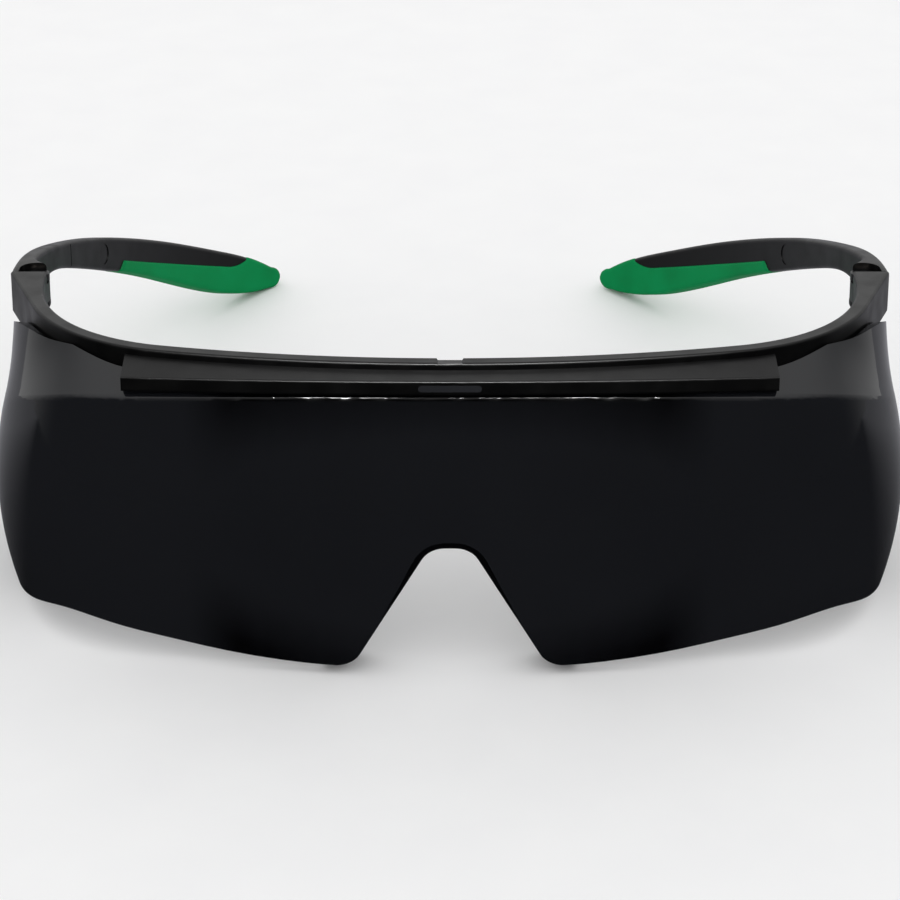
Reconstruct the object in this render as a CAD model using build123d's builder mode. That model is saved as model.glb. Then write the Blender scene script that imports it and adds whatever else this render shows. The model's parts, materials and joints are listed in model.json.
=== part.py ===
from build123d import *
import math
import os

# Over-spectacle welding glasses: a dark wrap lens under a brow frame with folding temples.
# Built in the wearer's frame (mm): X to the side, +Y backwards to the ears, +Z up, with the
# origin at the middle of the band's rear top edge. At the end the whole assembly is laid down
# on a table, where it rests on the lens's lower edge and on the temple tips.

# brow band
brow_flat_radius = 213.7    # rear face over the brow
brow_flat_angle = 13.1      # half angle of that gentle arc, degrees
brow_corner_radius = 31.4   # rear face where the band turns back
brow_corner_turn = 61.8     # degrees
band_thickness = 2.8
band_height = 7.6
band_rise = 8.9             # degrees, the band climbs towards the ears
band_edge_round = 0.5
notch_width = 5.2
notch_depth = 0.5
notch_slope = 60.0          # degrees, its two sides

# end-pieces and hinges
hinge_plane_y = 40.0        # parting plane between the end-piece and the temple
end_inner_x = 73.1
end_outer_x = 79.8
knuckle_radius = 2.6
pin_behind_plane = 1.6
tongue_height = 3.4
end_skin = 0.5              # top skin of the end-piece, over the temple's upper ear
rest_fold_right = 2.6       # degrees, the right temple stands this far in from its open stop
ear_drop = 0.6              # the upper ear is this much lower than the end-piece's top
hinge_gap = 0.15            # sideways play around the tongue and the ears
butt_gap = 0.05             # gap at the open stop
pin_radius = 0.8
pin_bore_play = 0.05
pin_head_radius = 1.2
pin_head_play = 0.2         # gap around the head in its counterbore
pin_head_height = 0.5
pin_head_sunk = 0.15        # below the ear's top face
pin_end_inset = 0.5         # the pin's foot stops short of the lower ear's face

# lens
lens_flat_radius = 300.0
lens_flat_angle = 11.0      # half angle of the front's gentle arc, degrees
lens_corner_radius = 26.6
lens_front_y = -6.0         # top edge of the front at the middle
lens_edge_z = -5.2
lens_edge_fall = 0.27       # the top edge falls towards the back
lens_side_back_y = 47.0     # rear end of the side shields
lens_wall = 2.2
lens_edge_round = 2.0
lens_bulge_front = 2.6      # how far the wall bows out between its top edge and its bottom
lens_bulge_side = 1.8
lens_tuck_side = 0.8        # how far the bottom of the side shields leans in
bevel_angle_front = 36.0    # degrees above level
bevel_angle_side = 84.0
lens_band_gap = 0.5
lens_rear_round = 4.0
nose_top_z = -31.3          # top of the gap over the nose
nose_half_top = 3.4
nose_flank_angle = 32.0     # degrees from upright
nose_arch_round = 4.5
nose_lobe_round = 5.0
nose_flange_depth = 7.0     # flange that bears on the nose
nose_flange_reach = 30.0
nose_rim_front_y = -9.0     # just in front of the wall; the rim rolls back from here
# the roll: (depth behind that, distance from the gap)
nose_rim_roll = [(0, 3.2), (0.35, 1.8), (0.9, 1.0), (1.8, 0.35), (3.2, 0)]

# clamp bar
clamp_half_length = 54.4
clamp_top_drop = 1.1        # below the band's front top edge
clamp_proud = 0.8           # in front of the lens's top edge
clamp_front_height = 2.4
clamp_front_z = -2.5        # front top edge at the middle
clamp_end_fall = 0.5        # how much lower that edge is at the ends
clamp_round = 0.4
inlay_length = 10.4
inlay_height = 1.1
inlay_depth = 1.0
inlay_proud = 0.12

# temples
temple_radius = 175.0       # outer face, curving in towards the ears
temple_thickness = 3.2
temple_reach = 112.0        # plan length kept behind the parting plane
temple_root_length = 9.0    # the knuckle thins to the arm over this length
temple_edge_round = 0.8
pad_edge_round = 0.7
pad_proud = 0.5
tang_thickness = 1.4

# moulding marks on a temple's inner face
mark_distance = 48.0        # behind the parting plane
mark_height = -6.0
mark_radius = 2.1
mark_depth = 0.15
line_distance = 31.0        # joint line of a mould insert, on the left temple only
line_width = 0.3
line_depth = 0.12

# side view of a temple: (distance behind the parting plane, height above the hinge's top)
temple_top = [
    (butt_gap, 0), (5.5, 0.9), (13, 1.15), (26, 0.2), (41, -1.6), (60, -5.1), (75, -8.8), (91, -13.8),
    (99, -16.8), (105.2, -20.3),
]
temple_tip = (107.4, -22.7)
temple_bottom = [
    (104.5, -25), (94.4, -24.2), (86.8, -21.9), (69.8, -15.7), (50, -9.9), (32, -5.8), (20, -4.2), (11, -5),
    (butt_gap, -band_height),
]
pad_start = (53.4, -11.2)       # where the soft tip begins on the temple's lower edge
pad_corner = (55.6, -8.9)
pad_line_end = (92.7, -17.7)
pad_top = (98.4, -17.0)         # where its border reaches the temple's top edge

# thin tongue of the temple that the soft tip is moulded around
tang_outline = [
    (56, -8.7), (92, -17.4), (101, -19.8), (103.2, -21.6), (99, -22.8), (88, -20.4), (66, -12.9), (56.5, -10.3)
]

# lower edge of the lens: (distance along the wall from the middle, height)
lens_bottom = [
    (0, -52.4), (24, -52.4), (32, -51.2), (41, -50.0), (53, -47.6), (66, -45.0), (80, -45.8), (100, -44.2),
    (125, -39.5),
]
lens_top = [(0, -3.0), (56, -2.2), (63, -0.2), (73, -0.5), (84, 1.0), (94, 0.4), (104, -2.2), (125, -2.6)]

lens_stations = 25
clamp_stations = 11
far = 200.0                     # longer than any piece, for cutting bodies


# ---- plan curves ----
def polar(centre, radius, angle):
    return (
        centre[0] + radius * math.cos(math.radians(angle)),
        centre[1] + radius * math.sin(math.radians(angle)),
    )


def along_table(table, distance):
    # straight-line interpolation in a list of (distance, value)
    for (d0, v0), (d1, v1) in zip(table, table[1:]):
        if distance <= d1:
            return v0 + (v1 - v0) * (distance - d0) / (d1 - d0)
    return table[-1][1]


def corner_centre(flat_radius, flat_angle, corner_radius, front_y):
    # centre of the corner arc that continues the flat arc without a kink
    reach = flat_radius - corner_radius
    turn = math.radians(flat_angle)
    return (reach * math.sin(turn), front_y + flat_radius - reach * math.cos(turn))


def tangent_bearing(centre, radius, point):
    # bearing from the centre to where a tangent through the point leaves the circle
    away = math.dist(centre, point)
    bearing = math.degrees(math.atan2(point[1] - centre[1], point[0] - centre[0]))
    return bearing - math.degrees(math.acos(radius / away))


brow_centre = corner_centre(brow_flat_radius, brow_flat_angle, brow_corner_radius, 0)
lens_centre = corner_centre(lens_flat_radius, lens_flat_angle, lens_corner_radius, lens_front_y)
lens_flat_length = lens_flat_radius * math.radians(lens_flat_angle)
lens_corner_length = lens_corner_radius * math.radians(90 - lens_flat_angle)
lens_half_length = lens_flat_length + lens_corner_length + lens_side_back_y - lens_centre[1]

rise = math.tan(math.radians(band_rise))
hinge_top_z = hinge_plane_y * rise
hinge_bottom_z = hinge_top_z - band_height
pin_x = end_inner_x + knuckle_radius
pin_y = hinge_plane_y + pin_behind_plane
tongue_middle_z = (hinge_top_z + hinge_bottom_z) / 2
tongue_top_z = tongue_middle_z + tongue_height / 2
tongue_bottom_z = tongue_middle_z - tongue_height / 2


def band_outline(grow_front, grow_rear):
    # closed plan of the band; the faces can be moved outwards for clearance bodies
    start = brow_flat_angle - 90
    flat_centre = (0, brow_flat_radius)
    rear_radius = brow_corner_radius - grow_rear
    front_radius = brow_corner_radius + band_thickness + grow_front
    outer = (end_outer_x + grow_front, hinge_plane_y)
    leave = tangent_bearing(brow_centre, front_radius, outer)
    CenterArc(flat_centre, brow_flat_radius - grow_rear, -90, brow_flat_angle)
    corner = CenterArc(brow_centre, rear_radius, start, brow_corner_turn)
    inner = TangentArc(corner @ 1, (end_inner_x - grow_rear, hinge_plane_y), tangent=corner % 1)
    Line(inner @ 1, outer)
    CenterArc(flat_centre, brow_flat_radius + band_thickness + grow_front, -90, brow_flat_angle)
    front = CenterArc(brow_centre, front_radius, start, leave - start)
    Line(front @ 1, outer)
    mirror(about=Plane.YZ)


def band_profile(grow):
    # side view of the band: a strip that climbs to the rear
    front = -4 * band_thickness
    Polyline(
        (front, front * rise + grow),
        (hinge_plane_y, hinge_top_z + grow),
        (hinge_plane_y, hinge_bottom_z - grow),
        (front, front * rise - band_height - grow),
        close=True,
    )


# ---- brow frame ----
def brow_blank(grow_front, grow_rear, grow_height):
    with BuildPart() as blank:
        with BuildSketch():
            with BuildLine():
                band_outline(grow_front, grow_rear)
            make_face()
        extrude(amount=far / 2, both=True)
        with BuildSketch(Plane.YZ):
            with BuildLine():
                band_profile(grow_height)
            make_face()
        extrude(amount=far, both=True, mode=Mode.INTERSECT)
    return blank.part


def ear_recess(height):
    # plan of the room that an ear turns in, open to the inside, on both sides
    reach = knuckle_radius + hinge_gap
    with BuildSketch(Plane.XY.offset(height)) as recess:
        with Locations((pin_x, pin_y)):
            Circle(reach)
            Rectangle(reach, reach, align=Align.MAX)
        mirror(about=Plane.YZ)
    return recess.sketch


with BuildPart() as brow_frame:
    add(brow_blank(0, 0, 0))
    fillet(edges().filter_by(lambda edge: edge.length > hinge_plane_y), band_edge_round)
    # shallow notch in the middle of the top edge
    with BuildSketch(Plane.XZ.offset(2 * band_thickness)):
        Trapezoid(notch_width, 2 * notch_depth, notch_slope, rotation=180)
    extrude(amount=-4 * band_thickness, mode=Mode.SUBTRACT)
    # recesses for the temple's two ears: the upper one under a skin, the lower one right through
    extrude(ear_recess(tongue_top_z), amount=hinge_top_z - end_skin - tongue_top_z, mode=Mode.SUBTRACT)
    extrude(ear_recess(tongue_bottom_z), amount=-band_height, mode=Mode.SUBTRACT)
    # tongue with its pin bore
    with BuildSketch(Plane.XY.offset(tongue_bottom_z)):
        with Locations((pin_x, pin_y), (-pin_x, pin_y)):
            Circle(knuckle_radius)
        with Locations((pin_x, hinge_plane_y), (-pin_x, hinge_plane_y)):
            Rectangle(2 * knuckle_radius, 2 * pin_behind_plane)
    extrude(amount=tongue_height)
    with Locations((pin_x, pin_y, tongue_top_z), (-pin_x, pin_y, tongue_top_z)):
        Hole(pin_radius + pin_bore_play, tongue_height)


# ---- lens ----
def lens_place(distance):
    # plan position on the line of the front's top edge, and which way the wall faces there
    along = abs(distance)
    side = math.copysign(1, distance)
    if along < lens_flat_length:
        facing = math.degrees(along / lens_flat_radius)
        x, y = polar((0, lens_front_y + lens_flat_radius), lens_flat_radius, facing - 90)
    elif along < lens_flat_length + lens_corner_length:
        facing = lens_flat_angle + math.degrees((along - lens_flat_length) / lens_corner_radius)
        x, y = polar(lens_centre, lens_corner_radius, facing - 90)
    else:
        facing = 90
        x = lens_centre[0] + lens_corner_radius
        y = lens_centre[1] + along - lens_flat_length - lens_corner_length
    return side * x, y, side * facing


def lens_section(distance, outer_inset, wall):
    # one slice across the wall: bevel, rounded edge, bowed wall and bottom
    x, y, facing = lens_place(distance)
    turn = abs(facing) / 90
    bevel = math.radians(bevel_angle_front + (bevel_angle_side - bevel_angle_front) * turn ** 1.5)
    edge_z = lens_edge_z - lens_edge_fall * (y - lens_front_y)
    top_z = along_table(lens_top, abs(distance))
    bottom_z = along_table(lens_bottom, abs(distance))
    middle_z = (edge_z + bottom_z) / 2
    bulge = lens_bulge_front + (lens_bulge_side - lens_bulge_front) * turn
    tuck = lens_tuck_side * turn

    def bevel_point(depth):
        # top end of the bevel, this deep in the wall
        run = (top_z - edge_z) / math.tan(bevel)
        return (-run - depth * math.sin(bevel), top_z - depth * math.cos(bevel))

    def edge_point(depth):
        return (-depth, edge_z - depth * (1 - math.sin(bevel)) / math.cos(bevel))

    inner = outer_inset + wall
    normal = (math.sin(math.radians(facing)), -math.cos(math.radians(facing)))
    place = Plane(origin=(x, y, 0), x_dir=(*normal, 0), z_dir=(normal[1], -normal[0], 0))
    with BuildSketch(place) as section:
        with BuildLine():
            Line(bevel_point(outer_inset), edge_point(outer_inset))
            ThreePointArc(
                edge_point(outer_inset), (bulge - outer_inset, middle_z), (-tuck - outer_inset, bottom_z)
            )
            Line((-tuck - outer_inset, bottom_z), (-tuck - inner, bottom_z))
            ThreePointArc((-tuck - inner, bottom_z), (bulge - inner, middle_z), edge_point(inner))
            Line(edge_point(inner), bevel_point(inner))
            Line(bevel_point(inner), bevel_point(outer_inset))
        make_face()
        fillet(section.vertices().sort_by_distance((*edge_point(outer_inset), 0))[0], lens_edge_round)
    return section.sketch


def nose_gap(grow, front=-far / 2):
    # front view of the gap over the nose: rounded arch, straight flanks, rounded lobes
    slope = math.tan(math.radians(nose_flank_angle))
    aside = grow / math.cos(math.radians(nose_flank_angle)) - grow * slope
    top = nose_top_z + grow
    foot = lens_bottom[0][1]
    top_half = nose_half_top + aside
    foot_half = top_half + (top - foot) * slope
    out = foot_half + 2 * nose_lobe_round
    right = [(top_half, top), (foot_half, foot), (out, foot), (out, foot - lens_wall)]
    left = [(-x, z) for x, z in reversed(right)]
    with BuildSketch(Plane.XZ.offset(-front)) as gap:
        with BuildLine():
            Polyline(*right, *left, close=True)
        make_face()
        fillet(gap.vertices().group_by(Axis.Y)[-1], nose_arch_round + grow)
        # the lobes' corners: on the lens's lower edge, where the flanks end
        fillet(gap.vertices().group_by(Axis.Y)[1].sort_by(Axis.X)[1:-1], nose_lobe_round)
    return gap.sketch


def lens_slices(outer_inset, wall, reach):
    # slices across the wall, evenly spaced, out to this distance from the middle
    step = 2 * lens_half_length / (lens_stations - 1)
    places = [-lens_half_length + i * step for i in range(lens_stations)]
    return [lens_section(d, outer_inset, wall) for d in places if abs(d) <= reach + step / 2]


with BuildPart() as nose_flange:
    loft(sections=lens_slices(lens_wall / 4, nose_flange_depth, nose_flange_reach))
    extrude(nose_gap(lens_wall), amount=-far, mode=Mode.INTERSECT)

shield_top = along_table(lens_top, lens_half_length)
shield_bottom = along_table(lens_bottom, lens_half_length)

with BuildPart() as lens:
    loft(sections=lens_slices(0, lens_wall, lens_half_length))
    # rounded rear corners of the side shields
    with BuildSketch(Plane.YZ):
        centre_y = lens_side_back_y - lens_rear_round
        centres = [(centre_y, shield_top - lens_rear_round), (centre_y, shield_bottom + lens_rear_round)]
        with Locations(*centres):
            Rectangle(2 * lens_rear_round, 2 * lens_rear_round, align=(Align.MIN, Align.CENTER))
        with Locations(*centres):
            Circle(lens_rear_round, mode=Mode.SUBTRACT)
        with Locations((centre_y, (shield_top + shield_bottom) / 2)):
            Rectangle(
                2 * lens_rear_round,
                shield_top - shield_bottom - 2 * lens_rear_round,
                align=(Align.MIN, Align.CENTER),
                mode=Mode.SUBTRACT,
            )
    extrude(amount=far, both=True, mode=Mode.SUBTRACT)
    add(nose_flange.part)
    extrude(nose_gap(0), amount=-far, mode=Mode.SUBTRACT)
    # the gap's front rim rolls back in narrow facets
    for (depth, grow), (next_depth, next_grow) in zip(nose_rim_roll, nose_rim_roll[1:]):
        step = next_depth - depth
        slant = math.degrees(math.atan((grow - next_grow) / step))
        extrude(nose_gap(grow, nose_rim_front_y + depth), amount=-step, taper=slant, mode=Mode.SUBTRACT)
    add(brow_blank(lens_band_gap, 1.5 * band_thickness, lens_band_gap), mode=Mode.SUBTRACT)


# ---- clamp bar ----
def band_front_y(x):
    flat_end = (brow_flat_radius + band_thickness) * math.sin(math.radians(brow_flat_angle))
    if abs(x) < flat_end:
        return brow_flat_radius - math.sqrt((brow_flat_radius + band_thickness) ** 2 - x**2)
    radius = brow_corner_radius + band_thickness
    return brow_centre[1] - math.sqrt(radius**2 - (abs(x) - brow_centre[0]) ** 2)


def lens_edge_y(x):
    return lens_front_y + lens_flat_radius - math.sqrt(lens_flat_radius**2 - x**2)


def clamp_section(x):
    # slice of the bar: it leans on the band, caps the lens's bevel and has a lip in front of it
    back = band_front_y(x)
    edge_y = lens_edge_y(x)
    edge_z = lens_edge_z - lens_edge_fall * (edge_y - lens_front_y)
    front = edge_y - clamp_proud
    share = (x / clamp_half_length) ** 2
    front_top = clamp_front_z - clamp_end_fall * share
    lip = front_top - clamp_front_height
    bevel = math.tan(math.radians(bevel_angle_front))
    in_wall = edge_y + (lip - edge_z) / bevel + lens_wall / 2
    back_bottom = edge_z + (back - edge_y) * bevel - lens_wall / 2
    with BuildSketch(Plane.YZ.offset(x)) as section:
        with BuildLine():
            Polyline(
                (back + lens_band_gap, (back + lens_band_gap) * rise - clamp_top_drop),
                (front, front_top),
                (front, lip),
                (in_wall, lip),
                (back + lens_band_gap, back_bottom),
                close=True,
            )
        make_face()
        fillet(section.vertices().group_by(Axis.X)[0], clamp_round)
    return section.sketch


inlay_z = clamp_front_z - clamp_front_height / 2
inlay_front = lens_front_y - clamp_proud - inlay_proud

with BuildPart() as clamp_inlay:
    with BuildSketch(Plane.XZ.offset(-inlay_front)):
        with Locations((0, inlay_z)):
            SlotOverall(inlay_length, inlay_height)
    extrude(amount=-inlay_depth)

with BuildPart() as lens_clamp_bar:
    step = 2 * clamp_half_length / (clamp_stations - 1)
    loft(sections=[clamp_section(-clamp_half_length + i * step) for i in range(clamp_stations)])
    add(lens.part, mode=Mode.SUBTRACT)
    add(brow_frame.part, mode=Mode.SUBTRACT)
    add(clamp_inlay.part, mode=Mode.SUBTRACT)


# ---- temples, right side; the left side is its mirror image ----
def beside_hinge(points):
    # side-view points measured from the top of the parting plane
    return [(hinge_plane_y + back, hinge_top_z + up) for back, up in points]


temple_centre = (end_outer_x - temple_radius, hinge_plane_y)
temple_tip_turn = math.degrees(math.asin(temple_reach / temple_radius))
temple_root_turn = math.degrees(math.asin(temple_root_length / temple_radius))


def temple_plan(proud):
    # plan of the arm behind its root: two arcs that curve in towards the ear
    turn = temple_tip_turn - temple_root_turn
    outer = CenterArc(temple_centre, temple_radius + proud, temple_root_turn, turn)
    inner = CenterArc(temple_centre, temple_radius - temple_thickness - proud, temple_root_turn, turn)
    Line(outer @ 0, inner @ 0)
    Line(outer @ 1, inner @ 1)


def root_plan():
    # the arm with its wide root: round knuckle, a shoulder that butts, then thinning to the arm
    butt_y = hinge_plane_y + butt_gap
    butt_turn = math.degrees(math.asin(butt_gap / temple_radius))
    shoulder = math.degrees(math.asin((pin_y - butt_y) / knuckle_radius))
    turn = temple_tip_turn - temple_root_turn
    outer = CenterArc(temple_centre, temple_radius, butt_turn, temple_tip_turn - butt_turn)
    inner = CenterArc(temple_centre, temple_radius - temple_thickness, temple_root_turn, turn)
    knuckle = CenterArc((pin_x, pin_y), knuckle_radius, 180, 180 - shoulder)
    Line(outer @ 1, inner @ 1)
    Line(knuckle @ 1, outer @ 0)
    Spline(inner @ 0, knuckle @ 0, tangents=[-(inner % 0), (0, -1)])


def temple_outline():
    top = Spline(*beside_hinge(temple_top))
    tip = ThreePointArc(top @ 1, beside_hinge([temple_tip])[0], beside_hinge(temple_bottom)[0])
    bottom = Spline(tip @ 1, *beside_hinge(temple_bottom[1:]))
    ear_front = -pin_behind_plane - knuckle_radius
    ear = [(ear_front, -band_height), (ear_front, -ear_drop), (butt_gap, -ear_drop)]
    Polyline(bottom @ 1, *beside_hinge(ear), top @ 0)


def pad_outline():
    start, corner, line_end, top = beside_hinge([pad_start, pad_corner, pad_line_end, pad_top])
    below = hinge_bottom_z - temple_reach
    beyond = hinge_plane_y + temple_reach + band_height
    Line((start[0], below), start)
    Line(start, corner)
    Line(corner, line_end)
    curve = TangentArc(line_end, top, tangent=(line_end[0] - corner[0], line_end[1] - corner[1]))
    Line(curve @ 1, (top[0], hinge_top_z))
    Line((top[0], hinge_top_z), (beyond, hinge_top_z))
    Line((beyond, hinge_top_z), (beyond, below))
    Line((beyond, below), (start[0], below))


def temple_blank(proud, with_root, edge_round):
    # the arm's plan and side view crossed
    with BuildPart() as blank:
        with BuildSketch():
            with BuildLine():
                if with_root:
                    root_plan()
                else:
                    temple_plan(proud)
            make_face()
        extrude(amount=far / 2, both=True)
        with BuildSketch(Plane.YZ):
            with BuildLine():
                temple_outline()
            make_face()
        extrude(amount=far, both=True, mode=Mode.INTERSECT)
        # a root keeps its square hinge edges; only the arm's four long edges are rounded
        shortest = 3 * temple_root_length if with_root else 0
        fillet(edges().filter_by(lambda edge: edge.length > shortest), edge_round)
    return blank.part


def ear_room(height):
    # plan around the pin, open to the front and to the inside
    reach = knuckle_radius + hinge_gap
    with BuildSketch(Plane.XY.offset(height)) as room:
        with Locations((pin_x, pin_y)):
            Circle(reach)
            Rectangle(2 * reach, reach, align=(Align.CENTER, Align.MAX))
            Rectangle(2 * reach, 2 * reach, align=(Align.MAX, Align.CENTER))
    return room.sketch


def inner_face(distance, up):
    # plane on the arm's inner face, this far behind the parting plane, facing the wearer
    turn = math.degrees(math.asin(distance / temple_radius))
    x, y = polar(temple_centre, temple_radius - temple_thickness, turn)
    out_x, out_y = polar((0, 0), 1, turn)
    return Plane(origin=(x, y, hinge_top_z + up), x_dir=(out_y, -out_x, 0), z_dir=(-out_x, -out_y, 0))


with BuildPart() as pad_region:
    with BuildSketch(Plane.YZ):
        with BuildLine():
            pad_outline()
        make_face()
    extrude(amount=far)

with BuildPart() as tang:
    with BuildSketch():
        with BuildLine():
            temple_plan((tang_thickness - temple_thickness) / 2)
        make_face()
    extrude(amount=far / 2, both=True)
    with BuildSketch(Plane.YZ):
        with BuildLine():
            Polyline(*beside_hinge(tang_outline), close=True)
        make_face()
    extrude(amount=far, both=True, mode=Mode.INTERSECT)

with BuildPart() as temple_right:
    add(temple_blank(0, True, temple_edge_round))
    add(pad_region.part, mode=Mode.SUBTRACT)
    add(tang.part)
    # slot for the end-piece's tongue, and the low top of the upper ear that turns under the skin
    slot_height = tongue_height + 2 * hinge_gap
    extrude(ear_room(tongue_bottom_z - hinge_gap), amount=slot_height, mode=Mode.SUBTRACT)
    extrude(ear_room(hinge_top_z - ear_drop), amount=band_height, mode=Mode.SUBTRACT)
    # round mark on the inner face
    with BuildSketch(inner_face(mark_distance, mark_height)):
        Circle(mark_radius)
    extrude(amount=mark_depth, both=True, mode=Mode.SUBTRACT)
    # pin hole through both ears, with a counterbore for the head
    head_z = hinge_top_z - ear_drop - pin_head_sunk - pin_head_height
    with Locations((pin_x, pin_y, head_z)):
        Hole(pin_radius, band_height)
    with BuildSketch(Plane.XY.offset(head_z)):
        with Locations((pin_x, pin_y)):
            Circle(pin_head_radius + pin_head_play)
    extrude(amount=band_height, mode=Mode.SUBTRACT)

with BuildPart() as temple_pad_right:
    add(temple_blank(pad_proud, False, pad_edge_round))
    add(pad_region.part, mode=Mode.INTERSECT)
    add(temple_right.part, mode=Mode.SUBTRACT)

with BuildPart() as hinge_pin_right:
    with BuildSketch(Plane.XY.offset(hinge_bottom_z + pin_end_inset)):
        with Locations((pin_x, pin_y)):
            Circle(pin_radius)
    extrude(amount=head_z - hinge_bottom_z - pin_end_inset)
    with BuildSketch(Plane.XY.offset(head_z)):
        with Locations((pin_x, pin_y)):
            Circle(pin_head_radius)
    extrude(amount=pin_head_height)

with BuildPart() as insert_line:
    with BuildSketch(inner_face(line_distance, 0)):
        Rectangle(line_width, 4 * band_height)
    extrude(amount=line_depth, both=True)

with BuildPart() as temple_left:
    mirror(temple_right.part, about=Plane.YZ)
    mirror(insert_line.part, about=Plane.YZ, mode=Mode.SUBTRACT)

with BuildPart() as temple_pad_left:
    mirror(temple_pad_right.part, about=Plane.YZ)

with BuildPart() as hinge_pin_left:
    mirror(hinge_pin_right.part, about=Plane.YZ)

pieces = {
    "lens": lens,
    "brow_frame": brow_frame,
    "lens_clamp_bar": lens_clamp_bar,
    "clamp_inlay": clamp_inlay,
    "temple_left": temple_left,
    "temple_right": temple_right,
    "temple_pad_left": temple_pad_left,
    "temple_pad_right": temple_pad_right,
    "hinge_pin_left": hinge_pin_left,
    "hinge_pin_right": hinge_pin_right,
}


# ---- the right temple's place at rest ----
hinge_line = Axis((pin_x, pin_y, 0), (0, 0, 1))
places = {name: piece.part for name, piece in pieces.items()}
for name in ("temple_right", "temple_pad_right", "hinge_pin_right"):
    places[name] = places[name].rotate(hinge_line, rest_fold_right)


# ---- laying the glasses down on a table ----
def lowest(shape, tilt):
    return shape.rotate(Axis.X, -tilt).bounding_box().min.Z


def resting_tilt():
    # halve the range until the lens's lower edge and the temple tips are level
    low, high = 0.0, 45.0
    for _ in range(20):
        tilt = (low + high) / 2
        if lowest(lens.part, tilt) < lowest(temple_pad_left.part, tilt):
            low = tilt
        else:
            high = tilt
    return (low + high) / 2


tilt = resting_tilt()
boxes = [shape.rotate(Axis.X, -tilt).bounding_box() for shape in places.values()]
front_y = min(box.min.Y for box in boxes)
back_y = max(box.max.Y for box in boxes)
bottom_z = min(box.min.Z for box in boxes)
drop = Vector(0, -(front_y + back_y) / 2, -bottom_z)

os.makedirs("parts", exist_ok=True)
for name, shape in places.items():
    laid = shape.rotate(Axis.X, -tilt).translate(drop)
    laid.label = name
    export_step(laid, f"parts/{name}.step")

pin_foot = Vector(pin_x, pin_y, 0).rotate(Axis.X, -tilt) + drop
pin_way = Vector(0, 0, 1).rotate(Axis.X, -tilt)
print("resting tilt", round(tilt, 3), "degrees; origin at", drop)
print("right hinge", pin_foot, "axis", pin_way)
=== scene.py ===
import json
import math

import bmesh
import bpy
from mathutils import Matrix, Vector


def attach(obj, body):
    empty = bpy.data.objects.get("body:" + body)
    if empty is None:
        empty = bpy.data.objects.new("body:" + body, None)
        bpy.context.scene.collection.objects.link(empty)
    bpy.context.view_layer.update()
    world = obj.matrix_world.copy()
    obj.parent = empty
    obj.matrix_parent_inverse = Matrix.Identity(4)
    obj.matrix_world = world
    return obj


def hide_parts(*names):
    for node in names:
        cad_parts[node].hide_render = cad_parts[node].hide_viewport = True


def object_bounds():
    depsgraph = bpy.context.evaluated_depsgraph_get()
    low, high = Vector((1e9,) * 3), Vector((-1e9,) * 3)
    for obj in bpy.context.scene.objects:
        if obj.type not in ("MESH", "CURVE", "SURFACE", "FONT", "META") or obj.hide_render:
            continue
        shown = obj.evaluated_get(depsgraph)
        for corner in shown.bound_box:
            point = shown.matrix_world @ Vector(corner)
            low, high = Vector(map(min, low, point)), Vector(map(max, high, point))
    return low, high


# Over-spectacle welding glasses on a white table: shaded lens, satin frame, green soft tips.
# +X is to the right seen from the front, +Y runs back to the temple tips, +Z is up. Metres.

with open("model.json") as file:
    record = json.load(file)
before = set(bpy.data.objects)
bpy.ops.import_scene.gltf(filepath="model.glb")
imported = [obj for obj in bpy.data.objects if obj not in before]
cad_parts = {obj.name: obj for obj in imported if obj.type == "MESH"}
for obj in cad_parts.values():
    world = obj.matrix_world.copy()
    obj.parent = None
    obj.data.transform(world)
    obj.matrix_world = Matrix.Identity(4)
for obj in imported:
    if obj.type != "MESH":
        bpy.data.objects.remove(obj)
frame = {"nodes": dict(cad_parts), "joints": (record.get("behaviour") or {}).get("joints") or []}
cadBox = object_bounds()
cadNodes = frame["nodes"]
mm = 0.001


# ---- small helpers ----

def hexLinear(code):
    # sRGB hex to the linear colour that the shader wants
    channels = [int(code[i:i + 2], 16) / 255 for i in (1, 3, 5)]
    return tuple(c / 12.92 if c <= 0.04045 else ((c + 0.055) / 1.055) ** 2.4 for c in channels) + (1.0,)


def addNode(tree, kind, settings=None, links=None):
    # settings: an input's name or number, or one of the node's own properties
    # links: an input's name or number, and the (node, output) that feeds it
    node = tree.nodes.new(kind)
    for key, value in (settings or {}).items():
        if isinstance(key, str) and hasattr(node, key):
            setattr(node, key, value)
        else:
            node.inputs[key].default_value = value
    for key, (source, output) in (links or {}).items():
        tree.links.new(source.outputs[output], node.inputs[key])
    return node


def newMaterial(name):
    material = bpy.data.materials.new(name)
    material.use_nodes = True
    tree = material.node_tree
    shader = tree.nodes["Principled BSDF"]
    place = addNode(tree, "ShaderNodeTexCoord")
    return material, tree, shader, place


def addNoise(tree, place, sizeMm, detail):
    # noise with features of this size, fixed to the object
    return addNode(tree, "ShaderNodeTexNoise", {"Scale": 1 / (sizeMm * mm), "Detail": detail},
                   {"Vector": (place, "Object")})


def mixColours(tree, low, high, factor):
    # factor: (node, output)
    return addNode(tree, "ShaderNodeMix", {"data_type": "RGBA", 6: hexLinear(low), 7: hexLinear(high)},
                   {0: factor})


def roughnessFrom(tree, noise, look, noiseLow=0.3, noiseHigh=0.7):
    # spreads the useful part of a noise over the look's two roughness values
    smooth, rough = look["roughness"]
    return addNode(tree, "ShaderNodeMapRange",
                   {"From Min": noiseLow, "From Max": noiseHigh, "To Min": smooth, "To Max": rough},
                   {"Value": (noise, "Fac")})


def rampStops(ramp, stops):
    # stops: (position, grey or colour)
    elements = ramp.color_ramp.elements
    while len(elements) < len(stops):
        elements.new(0.5)
    for element, (position, value) in zip(elements, stops):
        element.position = position
        element.color = value if isinstance(value, tuple) else (value, value, value, 1.0)
    return ramp


def dress(obj, material):
    obj.data.materials.clear()
    obj.data.materials.append(material)


# ---- materials ----

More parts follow.
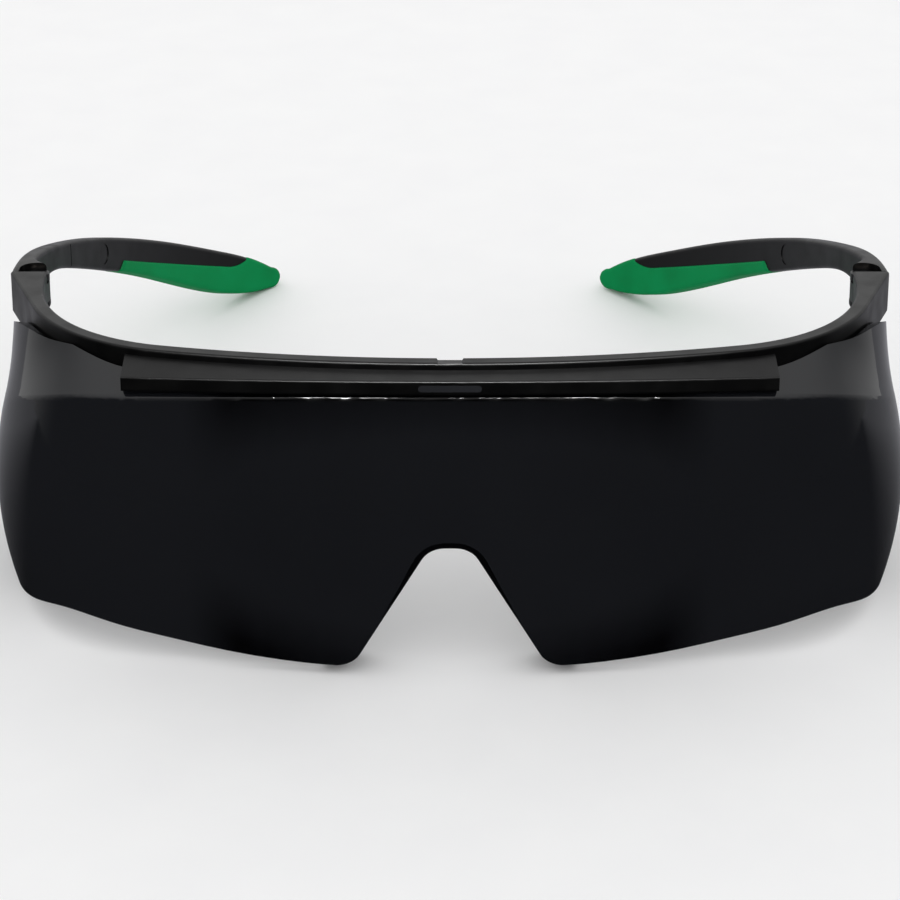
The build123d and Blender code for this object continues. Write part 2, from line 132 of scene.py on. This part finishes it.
lensLook = {
    "tint": "#17181b",          # welding shade seen against a dark inside
    "tintDeep": "#131417",
    "edge": "#020203",          # painted dark reflection on the turned rim
    "facing": (0.0, -0.97, 0.23),   # the front's own direction
    "roughness": (0.05, 0.11),
    "specular": 0.45,
    "ior": 1.585,
    "flowMm": 22.0,             # slow waviness left by the mould flow
    "smearMm": 9.0,             # faint wiping marks
    "smearStretch": (0.35, 1.0, 1.6),
    "dustMm": 0.5,
    "speckShare": 0.09,         # how much of its cell a speck fills
    "speckRoughness": 0.08,     # added on a speck
    "waveStrength": 0.12,
    "waveMm": 0.3,
    "paintedRimTurn": (0.985, 0.965),  # cosine of the turn from the front: where the painted rim darkening starts, where it is full
    "paintedRimHalfMm": (44.0, 36.0),  # distance from the middle over which the painted rim darkening sets in
}


def buildLensPolycarbonate(look):
    # Injection-moulded polycarbonate, polished mould: near black, deep gloss, with a faint slow
    # waviness, wiping smears that only show in the reflections, and a little fine dust.
    material, tree, shader, place = newMaterial("polycarbonateWeldingShade")
    flow = addNoise(tree, place, look["flowMm"], 1.0)
    stretch = addNode(tree, "ShaderNodeMapping", {"Scale": look["smearStretch"]},
                      {"Vector": (place, "Object")})
    smear = addNode(tree, "ShaderNodeTexNoise",
                    {"Scale": 1 / (look["smearMm"] * mm), "Detail": 6.0, "Distortion": 0.8},
                    {"Vector": (stretch, "Vector")})
    dust = addNode(tree, "ShaderNodeTexVoronoi", {"Scale": 1 / (look["dustMm"] * mm), "Randomness": 1.0},
                   {"Vector": (place, "Object")})
    speck = rampStops(addNode(tree, "ShaderNodeValToRGB", {}, {"Fac": (dust, "Distance")}),
                      [(0.0, 1.0), (look["speckShare"], 0.0)])
    rough = roughnessFrom(tree, smear, look, noiseHigh=0.72)
    roughDust = addNode(tree, "ShaderNodeMath", {"operation": "MULTIPLY_ADD", 1: look["speckRoughness"]},
                        {0: (speck, "Color"), 2: (rough, "Result")})
    tint = mixColours(tree, look["tintDeep"], look["tint"], (flow, "Fac"))
    # what turns away from the front near the middle, such as the rolled rim over the nose, gets a painted
    # dark reflection in its base colour
    towards = addNode(tree, "ShaderNodeVectorMath", {"operation": "DOT_PRODUCT", 1: look["facing"]},
                      {0: (place, "Normal")})
    faceTurn, edgeTurn = look["paintedRimTurn"]
    turned = addNode(tree, "ShaderNodeMapRange", {"From Min": faceTurn, "From Max": edgeTurn},
                     {"Value": (towards, "Value")})
    split = addNode(tree, "ShaderNodeSeparateXYZ", {}, {"Vector": (place, "Object")})
    aside = addNode(tree, "ShaderNodeMath", {"operation": "ABSOLUTE"}, {0: (split, "X")})
    outer, inner = look["paintedRimHalfMm"]
    central = addNode(tree, "ShaderNodeMapRange", {"From Min": outer * mm, "From Max": inner * mm},
                      {"Value": (aside, "Value")})
    paintedRimMask = addNode(tree, "ShaderNodeMath", {"operation": "MULTIPLY"},
                  {0: (turned, "Result"), 1: (central, "Result")})
    tintWithPaintedRim = addNode(tree, "ShaderNodeMix", {"data_type": "RGBA", 7: hexLinear(look["edge"])},
                       {0: (paintedRimMask, "Value"), 6: (tint, 2)})
    wave = addNode(tree, "ShaderNodeBump",
                   {"Strength": look["waveStrength"], "Distance": look["waveMm"] * mm},
                   {"Height": (flow, "Fac")})
    tree.links.new(tintWithPaintedRim.outputs[2], shader.inputs["Base Color"])
    tree.links.new(roughDust.outputs[0], shader.inputs["Roughness"])
    tree.links.new(wave.outputs["Normal"], shader.inputs["Normal"])
    shader.inputs["IOR"].default_value = look["ior"]
    shader.inputs["Specular IOR Level"].default_value = look["specular"]
    return material


frameLook = {
    "dark": "#020202",
    "light": "#060607",
    "roughness": (0.28, 0.42),
    "specular": 0.22,
    "ior": 1.53,
    "sparkMm": 0.35,            # spark-eroded grain, drawn about twice as coarse as real so that it shows
    "cloudMm": 14.0,
    "rubMm": 5.0,               # handling polish
    "bump": 0.22,
    "bumpMm": 0.03,
}


def buildMouldedPolyamide(name, look):
    # Injection-moulded polyamide from a spark-eroded mould: black satin, soft highlights that
    # break up into a fine grain, slightly more polished where fingers rub it.
    material, tree, shader, place = newMaterial(name)
    grain = addNoise(tree, place, look["sparkMm"], 3.0)
    cloud = addNoise(tree, place, look["cloudMm"], 3.0)
    rub = addNoise(tree, place, look["rubMm"], 5.0)
    colour = mixColours(tree, look["dark"], look["light"], (cloud, "Fac"))
    rough = roughnessFrom(tree, rub, look)
    bump = addNode(tree, "ShaderNodeBump", {"Strength": look["bump"], "Distance": look["bumpMm"] * mm},
                   {"Height": (grain, "Fac")})
    tree.links.new(colour.outputs[2], shader.inputs["Base Color"])
    tree.links.new(rough.outputs["Result"], shader.inputs["Roughness"])
    tree.links.new(bump.outputs["Normal"], shader.inputs["Normal"])
    shader.inputs["IOR"].default_value = look["ior"]
    shader.inputs["Specular IOR Level"].default_value = look["specular"]
    return material


inlayLook = dict(frameLook, dark="#1b1c1f", light="#2a2b2e", roughness=(0.10, 0.16), specular=0.5, bump=0.04)

tipLook = {
    "deep": "#007b42",
    "main": "#008549",
    "worn": "#048c50",
    "roughness": (0.42, 0.60),
    "specular": 0.05,
    "grainMm": 0.3,             # matt mould grain, drawn coarser than real so that it shows
    "cloudMm": 11.0,
    "bump": 0.25,
    "bumpMm": 0.03,
    "ior": 1.50,
}


def buildSoftElastomer(look):
    # Two-shot thermoplastic elastomer: saturated green, rubbery satin, fine matt grain and a
    # slightly chalky bloom where it is handled.
    material, tree, shader, place = newMaterial("elastomerGreenTip")
    grain = addNoise(tree, place, look["grainMm"], 2.0)
    cloud = addNoise(tree, place, look["cloudMm"], 4.0)
    colour = rampStops(addNode(tree, "ShaderNodeValToRGB", {}, {"Fac": (cloud, "Fac")}),
                       [(0.3, hexLinear(look["deep"])), (0.52, hexLinear(look["main"])),
                        (0.8, hexLinear(look["worn"]))])
    rough = roughnessFrom(tree, cloud, look)
    bump = addNode(tree, "ShaderNodeBump", {"Strength": look["bump"], "Distance": look["bumpMm"] * mm},
                   {"Height": (grain, "Fac")})
    tree.links.new(colour.outputs["Color"], shader.inputs["Base Color"])
    tree.links.new(rough.outputs["Result"], shader.inputs["Roughness"])
    tree.links.new(bump.outputs["Normal"], shader.inputs["Normal"])
    shader.inputs["IOR"].default_value = look["ior"]
    shader.inputs["Specular IOR Level"].default_value = look["specular"]
    return material


pinLook = {
    "steel": "#d9cdbf",
    "dull": "#b3a89c",
    "roughness": (0.22, 0.38),
    "brushMm": 0.12,            # turning marks
    "brushStretch": (1.0, 1.0, 0.1),
    "bump": 0.15,
    "bumpMm": 0.02,
}


def buildTurnedSteel(look):
    # Cold-headed stainless rivet: warm pale grey metal with fine turning marks and dull spots.
    material, tree, shader, place = newMaterial("stainlessPin")
    stretch = addNode(tree, "ShaderNodeMapping", {"Scale": look["brushStretch"]},
                      {"Vector": (place, "Object")})
    marks = addNode(tree, "ShaderNodeTexNoise", {"Scale": 1 / (look["brushMm"] * mm), "Detail": 4.0},
                    {"Vector": (stretch, "Vector")})
    colour = mixColours(tree, look["dull"], look["steel"], (marks, "Fac"))
    rough = roughnessFrom(tree, marks, look)
    bump = addNode(tree, "ShaderNodeBump", {"Strength": look["bump"], "Distance": look["bumpMm"] * mm},
                   {"Height": (marks, "Fac")})
    tree.links.new(colour.outputs[2], shader.inputs["Base Color"])
    tree.links.new(rough.outputs["Result"], shader.inputs["Roughness"])
    tree.links.new(bump.outputs["Normal"], shader.inputs["Normal"])
    shader.inputs["Metallic"].default_value = 1.0
    return material


lensPolycarbonate = buildLensPolycarbonate(lensLook)
mouldedPolyamide = buildMouldedPolyamide("polyamideSatinBlack", frameLook)
polishedInlay = buildMouldedPolyamide("polyamidePolishedOval", inlayLook)
softElastomer = buildSoftElastomer(tipLook)
turnedSteel = buildTurnedSteel(pinLook)
print("materials ready")


# ---- pieces that keep their CAD shape ----

dress(cadNodes["lens"], lensPolycarbonate)
for name in ("brow_frame", "lens_clamp_bar", "temple_left", "temple_right"):
    dress(cadNodes[name], mouldedPolyamide)
dress(cadNodes["clamp_inlay"], polishedInlay)
print("frame and lens dressed")


# ---- soft tips ----

tip = {
    "voxelMm": 0.34,
    "smoothing": 7,             # passes that round every edge of the moulding
    "firmness": 0.5,
}


def buildSoftTip(side):
    # the tip's own solid, remeshed and eased so that all of its edges turn softly
    source = cadNodes["temple_pad_" + side]
    mesh = source.data.copy()
    obj = bpy.data.objects.new("soft_tip_" + side, mesh)
    bpy.context.scene.collection.objects.link(obj)
    remesh = obj.modifiers.new("evenSkin", "REMESH")
    remesh.mode = "VOXEL"
    remesh.voxel_size = tip["voxelMm"] * mm
    remesh.use_smooth_shade = True
    soften = obj.modifiers.new("softEdges", "SMOOTH")
    soften.factor = tip["firmness"]
    soften.iterations = tip["smoothing"]
    graph = bpy.context.evaluated_depsgraph_get()
    finished = bpy.data.meshes.new_from_object(obj.evaluated_get(graph))
    obj.modifiers.clear()
    obj.data = finished
    for face in finished.polygons:
        face.use_smooth = True
    dress(obj, softElastomer)
    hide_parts("temple_pad_" + side)
    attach(obj, "temple_" + side + "_arm")


for side in ("left", "right"):
    buildSoftTip(side)
print("soft tips built")


# ---- hinge pins ----

pin = {
    "headRadiusMm": 1.2,
    "shankRadiusMm": 0.8,
    "headHeightMm": 0.5,
    "domeMm": 0.14,             # how far the head's face bulges
    "dimpleRadiusMm": 0.28,     # centre mark left by the heading tool
    "dimpleDepthMm": 0.12,
    "easeMm": 0.12,             # small bevel on the foot and on the head's edge
    "domeRings": 5,
    "sides": 48,
    "sharpDegrees": 35,
}


def buildHingePin(side, joint):
    # a turned rivet about the hinge's own axis, as long as its CAD solid
    source = cadNodes["hinge_pin_" + side]
    axis = Vector(joint["axis"])
    if axis.z < 0:
        axis.negate()
    foot = Vector(joint["pos_m"])
    along = [(v.co - foot).dot(axis) for v in source.data.vertices]
    low, high = min(along), max(along)
    head, shank = pin["headRadiusMm"] * mm, pin["shankRadiusMm"] * mm
    neck = high - pin["headHeightMm"] * mm
    ease = pin["easeMm"] * mm
    dome = pin["domeMm"] * mm
    dimple = pin["dimpleRadiusMm"] * mm
    depth = pin["dimpleDepthMm"] * mm
    profile = [(0.0, low), (shank - ease, low), (shank, low + ease), (shank, neck),
               (head, neck), (head, high - dome - ease), (head - ease, high - dome)]
    for i in range(1, pin["domeRings"] + 1):
        share = i / pin["domeRings"]
        r = (head - ease) * (1 - share) + dimple * share
        profile.append((r, high - dome * (r / head) ** 2))
    profile += [(dimple * 0.7, high - depth * 0.6), (dimple * 0.35, high - depth * 0.95), (0.0, high - depth)]
    sideways = axis.orthogonal().normalized()
    across = axis.cross(sideways)
    build = bmesh.new()
    rings = []
    for r, z in profile:
        if r == 0.0:
            rings.append([build.verts.new(foot + axis * z)])
            continue
        turns = [2 * math.pi * k / pin["sides"] for k in range(pin["sides"])]
        rings.append([build.verts.new(foot + axis * z + (sideways * math.cos(t) + across * math.sin(t)) * r)
                      for t in turns])
    for lower, upper in zip(rings, rings[1:]):
        for k in range(pin["sides"]):
            n = (k + 1) % pin["sides"]
            if len(lower) == 1:
                build.faces.new((lower[0], upper[n], upper[k]))
            elif len(upper) == 1:
                build.faces.new((lower[k], lower[n], upper[0]))
            else:
                build.faces.new((lower[k], lower[n], upper[n], upper[k]))
    bmesh.ops.recalc_face_normals(build, faces=build.faces)
    mesh = bpy.data.meshes.new("hingePinMesh")
    build.to_mesh(mesh)
    build.free()
    for face in mesh.polygons:
        face.use_smooth = True
    mesh.set_sharp_from_angle(angle=math.radians(pin["sharpDegrees"]))
    obj = bpy.data.objects.new("rivet_" + side, mesh)
    bpy.context.scene.collection.objects.link(obj)
    dress(obj, turnedSteel)
    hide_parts("hinge_pin_" + side)
    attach(obj, "temple_" + side + "_arm")


for joint in frame["joints"]:
    buildHingePin("right" if joint["pos_m"][0] > 0 else "left", joint)
print("hinge pins built")


# ---- table ----

table = {
    "size": 6.0,
    "cells": 24,
    "colour": "#f9f9f9",
    "shade": "#f4f4f5",
    "roughness": 0.85,
    # the next two colours are a painted reflection, seen only by gloss rays
    "paintedReflection": "#202021",         # what gloss sees of the table in front of the glasses,
    "behind": "#a6a6ab",        # and behind them
    "paintedReflectionEdgeMm": (-55.0, 15.0),   # the one passes into the other between these places
    "mottle": 60.0,             # roller marks to the metre
    "specular": 0.1,
    "gapMm": 0.02,              # under the glasses
}


def buildTable():
    # Matt-painted board: an even white with a very faint roller mottle.
    material, tree, shader, place = newMaterial("paintMattWhite")
    mottle = addNode(tree, "ShaderNodeTexNoise", {"Scale": table["mottle"], "Detail": 3.0},
                     {"Vector": (place, "Object")})
    colour = mixColours(tree, table["shade"], table["colour"], (mottle, "Fac"))
    tree.links.new(colour.outputs[2], shader.inputs["Base Color"])
    shader.inputs["Roughness"].default_value = table["roughness"]
    shader.inputs["Specular IOR Level"].default_value = table["specular"]
    # painted reflection: gloss rays see the table dark in front and grey behind, in place of a shade board,
    # as in a product studio
    ray = addNode(tree, "ShaderNodeLightPath")
    split = addNode(tree, "ShaderNodeSeparateXYZ", {}, {"Vector": (place, "Object")})
    near, beyond = table["paintedReflectionEdgeMm"]
    depth = addNode(tree, "ShaderNodeMapRange", {"From Min": near * mm, "From Max": beyond * mm},
                    {"Value": (split, "Y")})
    seen = mixColours(tree, table["paintedReflection"], table["behind"], (depth, "Result"))
    paintedReflection = addNode(tree, "ShaderNodeBsdfDiffuse", {}, {"Color": (seen, 2)})
    both = addNode(tree, "ShaderNodeMixShader", {},
                   {0: (ray, "Is Glossy Ray"), 1: (shader, "BSDF"), 2: (paintedReflection, "BSDF")})
    tree.links.new(both.outputs[0], tree.nodes["Material Output"].inputs["Surface"])
    build = bmesh.new()
    bmesh.ops.create_grid(build, x_segments=table["cells"], y_segments=table["cells"],
                          size=table["size"] / 2)
    mesh = bpy.data.meshes.new("tableMesh")
    build.to_mesh(mesh)
    build.free()
    obj = bpy.data.objects.new("table_top", mesh)
    bpy.context.scene.collection.objects.link(obj)
    obj.location.z = cadBox[0].z - table["gapMm"] * mm
    dress(obj, material)


buildTable()


# ---- light ----

room = {
    "fill": 1.0,                # even white tent that lights the table and the object
    "front": 0.015,             # what gloss sees: a dark wall behind the viewer,
    "back": 0.85,               # a pale one behind the object
    "ceiling": 0.85,            # and a pale ceiling
    "depthSpan": (-0.35, 0.75), # the gloss direction's Y, from the front wall to the back one
    "riseSpan": (0.55, 0.95),   # its Z, from the walls to the ceiling
}


def buildRoom():
    # a white tent with a dark wall behind the viewer, which only shows in the gloss
    world = bpy.data.worlds.new("paleStudio")
    bpy.context.scene.world = world
    world.use_nodes = True
    tree = world.node_tree
    background = tree.nodes["Background"]
    direction = addNode(tree, "ShaderNodeTexCoord")
    split = addNode(tree, "ShaderNodeSeparateXYZ", {}, {"Vector": (direction, "Generated")})
    wallsEnd, ceilingStart = room["riseSpan"]
    frontEnd, backStart = room["depthSpan"]
    depth = addNode(tree, "ShaderNodeMapRange",
                    {"interpolation_type": "SMOOTHSTEP", "From Min": frontEnd, "From Max": backStart,
                     "To Min": room["front"], "To Max": room["back"]},
                    {"Value": (split, "Y")})
    rise = addNode(tree, "ShaderNodeMapRange",
                   {"interpolation_type": "SMOOTHSTEP", "From Min": wallsEnd, "From Max": ceilingStart},
                   {"Value": (split, "Z")})
    gloss = addNode(tree, "ShaderNodeMix", {"data_type": "FLOAT", 3: room["ceiling"]},
                    {0: (rise, "Result"), 2: (depth, "Result")})
    ray = addNode(tree, "ShaderNodeLightPath")
    level = addNode(tree, "ShaderNodeMix", {"data_type": "FLOAT", 2: room["fill"]},
                    {0: (ray, "Is Glossy Ray"), 3: (gloss, 0)})
    tree.links.new(level.outputs[0], background.inputs["Color"])


softboxes = {
    # a narrow box high in front, which draws the bright line along the lens's top edge
    "lineBox": {"place": (0.0, -0.50, 0.86), "size": (0.46, 0.20), "watts": 16.0},
}


def buildSoftboxes():
    middle = (cadBox[0] + cadBox[1]) / 2
    for name, box in softboxes.items():
        light = bpy.data.lights.new(name, "AREA")
        light.shape = "RECTANGLE"
        light.size, light.size_y = box["size"]
        light.energy = box["watts"]
        obj = bpy.data.objects.new(name, light)
        bpy.context.scene.collection.objects.link(obj)
        obj.location = box["place"]
        obj.visible_diffuse = False     # the box only shows in the gloss
        obj.rotation_euler = (middle - Vector(box["place"])).to_track_quat("-Z", "Y").to_euler()


buildRoom()
buildSoftboxes()


# ---- camera ----

view = {
    "aim": (0.0, -0.0612, 0.0339),   # just under the middle of the brow band
    "distance": 0.3806,
    "elevation": 29.22,              # degrees above the table
    "focalMm": 90.0,
    "sensorMm": 36.0,
}


def buildCamera():
    lens = bpy.data.cameras.new("viewCamera")
    lens.lens = view["focalMm"]
    lens.sensor_width = view["sensorMm"]
    lens.clip_start = 0.01
    obj = bpy.data.objects.new("viewCamera", lens)
    bpy.context.scene.collection.objects.link(obj)
    tilt = math.radians(view["elevation"])
    back = Vector((0.0, -math.cos(tilt), math.sin(tilt)))
    obj.location = Vector(view["aim"]) + back * view["distance"]
    obj.rotation_euler = (math.pi / 2 - tilt, 0.0, 0.0)
    bpy.context.scene.camera = obj


buildCamera()
bpy.context.scene.view_settings.view_transform = "Standard"
print("table, lights and camera placed")
